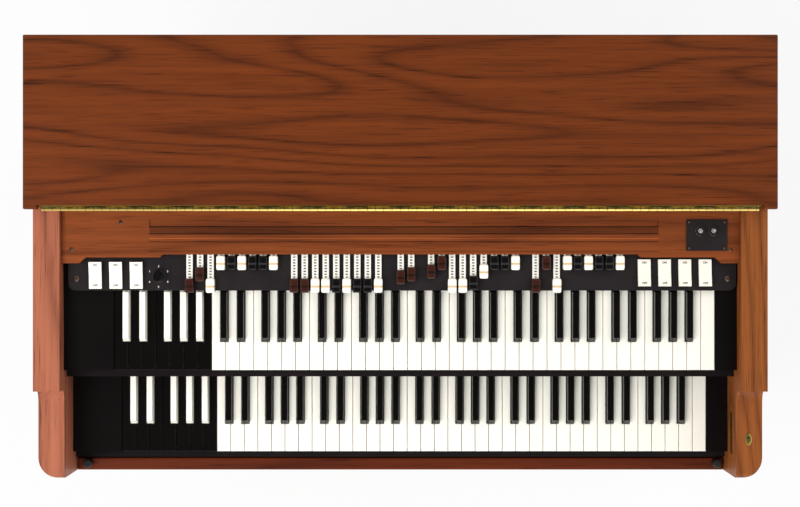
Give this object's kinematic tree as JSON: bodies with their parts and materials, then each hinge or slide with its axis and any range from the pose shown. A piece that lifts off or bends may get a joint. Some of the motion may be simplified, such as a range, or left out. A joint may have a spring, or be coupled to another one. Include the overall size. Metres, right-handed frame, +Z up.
{
  "type": "electronic organ",
  "caption": "Walnut two-manual drawbar console organ on turned legs, its lid folded back over the fixed top, with black presets, rocker tablets and a swell pedal.",
  "frame": {"origin": "middle of the footprint, on the floor under the runners", "axes": "+X to the player's right, +Y from the player towards the back, +Z up"},
  "size_m": [1.235, 0.738, 1.0083],
  "materials": {
    "walnut": "satin lacquered walnut veneer",
    "walnut_dark": "satin lacquered walnut",
    "plywood": "unfinished plywood",
    "ivory": "moulded acrylic, glossy",
    "ebony": "moulded acrylic, glossy black",
    "slip_black": "black painted and felted",
    "plate_black": "enamelled steel sheet",
    "brown_plastic": "moulded brown plastic",
    "white_plastic": "moulded white plastic",
    "brass": "lacquered brass",
    "steel": "plated steel",
    "cast_aluminium": "cast, ribbed"
  },
  "bodies": {
    "case": {"left_end_panel": "walnut", "right_end_panel": "walnut", "fixed_top": "walnut", "back_panel": "walnut_dark", "key_bed": "plywood", "front_rail": "walnut_dark", "shelf_panel": "walnut", "control_plate": "plate_black", "drawbar_manifold": "slip_black", "upper_key_slip": "slip_black", "lower_key_slip": "slip_black", "left_cheek_block": "ebony", "right_cheek_block": "ebony", "upper_white_keys": "ivory", "upper_black_keys": "ebony", "lower_white_keys": "ivory", "lower_black_keys": "ebony", "switch_plate": "plate_black", "hinge_fixed_leaf": "brass", "lock_case": "brass", "left_leg_frame": "walnut_dark", "right_leg_frame": "walnut_dark", "toe_board": "walnut_dark", "tone_generator": "steel"},
    "lid": {"lid": "walnut", "fall_flap": "walnut", "hinge_lid_leaf": "brass"},
    "key_C": {"key_C": "ivory"},
    "key_D": {"key_D": "ivory"},
    "key_E": {"key_E": "ivory"},
    "key_F": {"key_F": "ivory"},
    "key_G": {"key_G": "ivory"},
    "key_A": {"key_A": "ivory"},
    "key_B": {"key_B": "ivory"},
    "key_C_sharp": {"key_C_sharp": "ebony"},
    "key_D_sharp": {"key_D_sharp": "ebony"},
    "key_F_sharp": {"key_F_sharp": "ebony"},
    "key_G_sharp": {"key_G_sharp": "ebony"},
    "key_A_sharp": {"key_A_sharp": "ebony"},
    "drawbar_1": {"drawbar_1": "brown_plastic"},
    "drawbar_2": {"drawbar_2": "brown_plastic"},
    "drawbar_3": {"drawbar_3": "white_plastic"},
    "drawbar_4": {"drawbar_4": "white_plastic"},
    "drawbar_5": {"drawbar_5": "ebony"},
    "drawbar_6": {"drawbar_6": "white_plastic"},
    "drawbar_7": {"drawbar_7": "ebony"},
    "drawbar_8": {"drawbar_8": "ebony"},
    "drawbar_9": {"drawbar_9": "white_plastic"},
    "left_tablet_1": {"left_tablet_1": "white_plastic"},
    "left_tablet_2": {"left_tablet_2": "white_plastic"},
    "left_tablet_3": {"left_tablet_3": "white_plastic"},
    "right_tablet_1": {"right_tablet_1": "white_plastic"},
    "right_tablet_2": {"right_tablet_2": "white_plastic"},
    "right_tablet_3": {"right_tablet_3": "white_plastic"},
    "right_tablet_4": {"right_tablet_4": "white_plastic"},
    "vibrato_knob": {"vibrato_knob": "ebony"},
    "start_toggle": {"start_toggle": "steel"},
    "run_toggle": {"run_toggle": "steel"},
    "lock_bolt": {"lock_bolt": "brass"},
    "expression_pedal": {"expression_pedal": "cast_aluminium"}
  },
  "joints": [
    {"name": "lid_hinge", "type": "hinge", "parent": "case", "child": "lid", "pos_m": [0, 0.0854, 0.9853], "axis": [1, 0, 0], "range_deg": [0, 180]},
    {"name": "key_C_turn", "type": "hinge", "parent": "case", "child": "key_C", "pos_m": [0.02379, 0.008, 0.9073], "axis": [1, 0, 0], "range_deg": [0, 2.8], "stiffness_Nm_per_rad": 2, "springref_deg": -5.73},
    {"name": "key_D_turn", "type": "hinge", "parent": "case", "child": "key_D", "pos_m": [0.04736, 0.008, 0.9073], "axis": [1, 0, 0], "range_deg": [0, 2.8], "stiffness_Nm_per_rad": 2, "springref_deg": -5.73},
    {"name": "key_E_turn", "type": "hinge", "parent": "case", "child": "key_E", "pos_m": [0.07093, 0.008, 0.9073], "axis": [1, 0, 0], "range_deg": [0, 2.8], "stiffness_Nm_per_rad": 2, "springref_deg": -5.73},
    {"name": "key_F_turn", "type": "hinge", "parent": "case", "child": "key_F", "pos_m": [0.0945, 0.008, 0.9073], "axis": [1, 0, 0], "range_deg": [0, 2.8], "stiffness_Nm_per_rad": 2, "springref_deg": -5.73},
    {"name": "key_G_turn", "type": "hinge", "parent": "case", "child": "key_G", "pos_m": [0.11807, 0.008, 0.9073], "axis": [1, 0, 0], "range_deg": [0, 2.8], "stiffness_Nm_per_rad": 2, "springref_deg": -5.73},
    {"name": "key_A_turn", "type": "hinge", "parent": "case", "child": "key_A", "pos_m": [0.14164, 0.008, 0.9073], "axis": [1, 0, 0], "range_deg": [0, 2.8], "stiffness_Nm_per_rad": 2, "springref_deg": -5.73},
    {"name": "key_B_turn", "type": "hinge", "parent": "case", "child": "key_B", "pos_m": [0.16521, 0.008, 0.9073], "axis": [1, 0, 0], "range_deg": [0, 2.8], "stiffness_Nm_per_rad": 2, "springref_deg": -5.73},
    {"name": "key_C_sharp_turn", "type": "hinge", "parent": "case", "child": "key_C_sharp", "pos_m": [0.03329, 0.026, 0.9093], "axis": [1, 0, 0], "range_deg": [0, 2.8], "stiffness_Nm_per_rad": 2, "springref_deg": -5.73},
    {"name": "key_D_sharp_turn", "type": "hinge", "parent": "case", "child": "key_D_sharp", "pos_m": [0.06143, 0.026, 0.9093], "axis": [1, 0, 0], "range_deg": [0, 2.8], "stiffness_Nm_per_rad": 2, "springref_deg": -5.73},
    {"name": "key_F_sharp_turn", "type": "hinge", "parent": "case", "child": "key_F_sharp", "pos_m": [0.10286, 0.026, 0.9093], "axis": [1, 0, 0], "range_deg": [0, 2.8], "stiffness_Nm_per_rad": 2, "springref_deg": -5.73},
    {"name": "key_G_sharp_turn", "type": "hinge", "parent": "case", "child": "key_G_sharp", "pos_m": [0.12986, 0.026, 0.9093], "axis": [1, 0, 0], "range_deg": [0, 2.8], "stiffness_Nm_per_rad": 2, "springref_deg": -5.73},
    {"name": "key_A_sharp_turn", "type": "hinge", "parent": "case", "child": "key_A_sharp", "pos_m": [0.15685, 0.026, 0.9093], "axis": [1, 0, 0], "range_deg": [0, 2.8], "stiffness_Nm_per_rad": 2, "springref_deg": -5.73},
    {"name": "drawbar_1_slide", "type": "slide", "parent": "case", "child": "drawbar_1", "axis": [0, 1, 0], "range_m": [0, 0.038]},
    {"name": "drawbar_2_slide", "type": "slide", "parent": "case", "child": "drawbar_2", "axis": [0, 1, 0], "range_m": [0, 0.038]},
    {"name": "drawbar_3_slide", "type": "slide", "parent": "case", "child": "drawbar_3", "axis": [0, 1, 0], "range_m": [0, 0.038]},
    {"name": "drawbar_4_slide", "type": "slide", "parent": "case", "child": "drawbar_4", "axis": [0, 1, 0], "range_m": [0, 0.038]},
    {"name": "drawbar_5_slide", "type": "slide", "parent": "case", "child": "drawbar_5", "axis": [0, 1, 0], "range_m": [0, 0.038]},
    {"name": "drawbar_6_slide", "type": "slide", "parent": "case", "child": "drawbar_6", "axis": [0, 1, 0], "range_m": [0, 0.038]},
    {"name": "drawbar_7_slide", "type": "slide", "parent": "case", "child": "drawbar_7", "axis": [0, 1, 0], "range_m": [0, 0.038]},
    {"name": "drawbar_8_slide", "type": "slide", "parent": "case", "child": "drawbar_8", "axis": [0, 1, 0], "range_m": [0, 0.038]},
    {"name": "drawbar_9_slide", "type": "slide", "parent": "case", "child": "drawbar_9", "axis": [0, 1, 0], "range_m": [0, 0.038]},
    {"name": "left_tablet_1_turn", "type": "hinge", "parent": "case", "child": "left_tablet_1", "pos_m": [-0.5112, -0.0247, 0.9365], "axis": [1, 0, 0], "range_deg": [-14, 0]},
    {"name": "left_tablet_2_turn", "type": "hinge", "parent": "case", "child": "left_tablet_2", "pos_m": [-0.4769, -0.0247, 0.9365], "axis": [1, 0, 0], "range_deg": [-14, 0]},
    {"name": "left_tablet_3_turn", "type": "hinge", "parent": "case", "child": "left_tablet_3", "pos_m": [-0.4425, -0.0247, 0.9365], "axis": [1, 0, 0], "range_deg": [-14, 0]},
    {"name": "right_tablet_1_turn", "type": "hinge", "parent": "case", "child": "right_tablet_1", "pos_m": [0.4089, -0.0224, 0.9365], "axis": [1, 0, 0], "range_deg": [0, 14]},
    {"name": "right_tablet_2_turn", "type": "hinge", "parent": "case", "child": "right_tablet_2", "pos_m": [0.4429, -0.0224, 0.9365], "axis": [1, 0, 0], "range_deg": [0, 14]},
    {"name": "right_tablet_3_turn", "type": "hinge", "parent": "case", "child": "right_tablet_3", "pos_m": [0.4769, -0.0224, 0.9365], "axis": [1, 0, 0], "range_deg": [0, 14]},
    {"name": "right_tablet_4_turn", "type": "hinge", "parent": "case", "child": "right_tablet_4", "pos_m": [0.511, -0.0224, 0.9365], "axis": [1, 0, 0], "range_deg": [0, 14]},
    {"name": "vibrato_knob_turn", "type": "hinge", "parent": "case", "child": "vibrato_knob", "pos_m": [-0.4058, -0.0279, 0.9388], "axis": [0, 0, 1], "range_deg": [-120, 180]},
    {"name": "start_toggle_turn", "type": "hinge", "parent": "case", "child": "start_toggle", "pos_m": [0.5015, 0.0488, 0.9543], "axis": [1, 0, 0], "range_deg": [-24, 0]},
    {"name": "run_toggle_turn", "type": "hinge", "parent": "case", "child": "run_toggle", "pos_m": [0.5234, 0.0488, 0.9543], "axis": [1, 0, 0], "range_deg": [0, 24]},
    {"name": "lock_bolt_slide", "type": "slide", "parent": "case", "child": "lock_bolt", "axis": [-1, 0, 0], "range_m": [0, 0.008]},
    {"name": "expression_pedal_turn", "type": "hinge", "parent": "case", "child": "expression_pedal", "pos_m": [0.15, 0.145, 0.19], "axis": [1, 0, 0], "range_deg": [-22, 0]}
  ]
}
